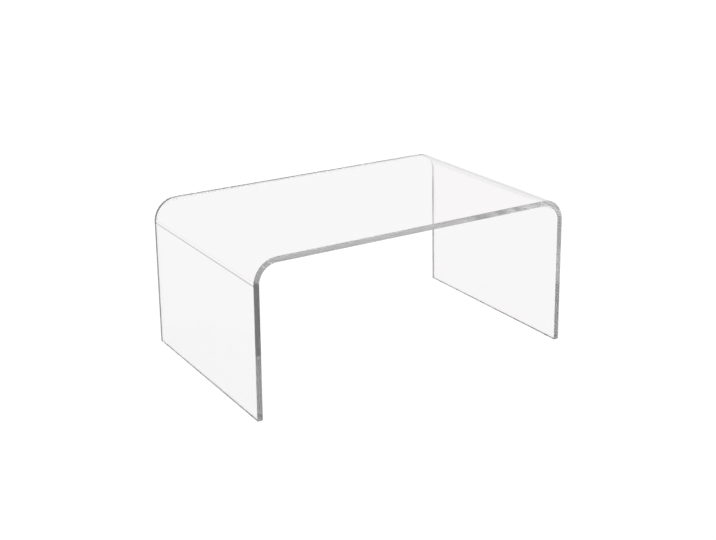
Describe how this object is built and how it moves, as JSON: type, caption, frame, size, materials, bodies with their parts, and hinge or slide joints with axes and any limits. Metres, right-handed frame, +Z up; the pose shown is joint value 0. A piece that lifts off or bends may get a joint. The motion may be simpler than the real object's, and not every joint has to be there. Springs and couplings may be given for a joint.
{
  "type": "waterfall coffee table",
  "caption": "Low clear acrylic table made as a bent sheet: the flat top curves down at each end into a full-depth leg panel that stands on small clear pads.",
  "frame": {"origin": "on the floor, under the middle of the table top", "axes": "+X along the table's length, +Y from the front edge to the rear edge, +Z up from the floor"},
  "size_m": [0.926, 0.585, 0.408],
  "materials": {
    "clear_acrylic": "polished",
    "clear_pad": "gloss"
  },
  "bodies": {
    "root": {"waterfall_sheet": "clear_acrylic", "floor_pad_front_left": "clear_pad", "floor_pad_front_right": "clear_pad", "floor_pad_rear_left": "clear_pad", "floor_pad_rear_right": "clear_pad"}
  },
  "joints": []
}
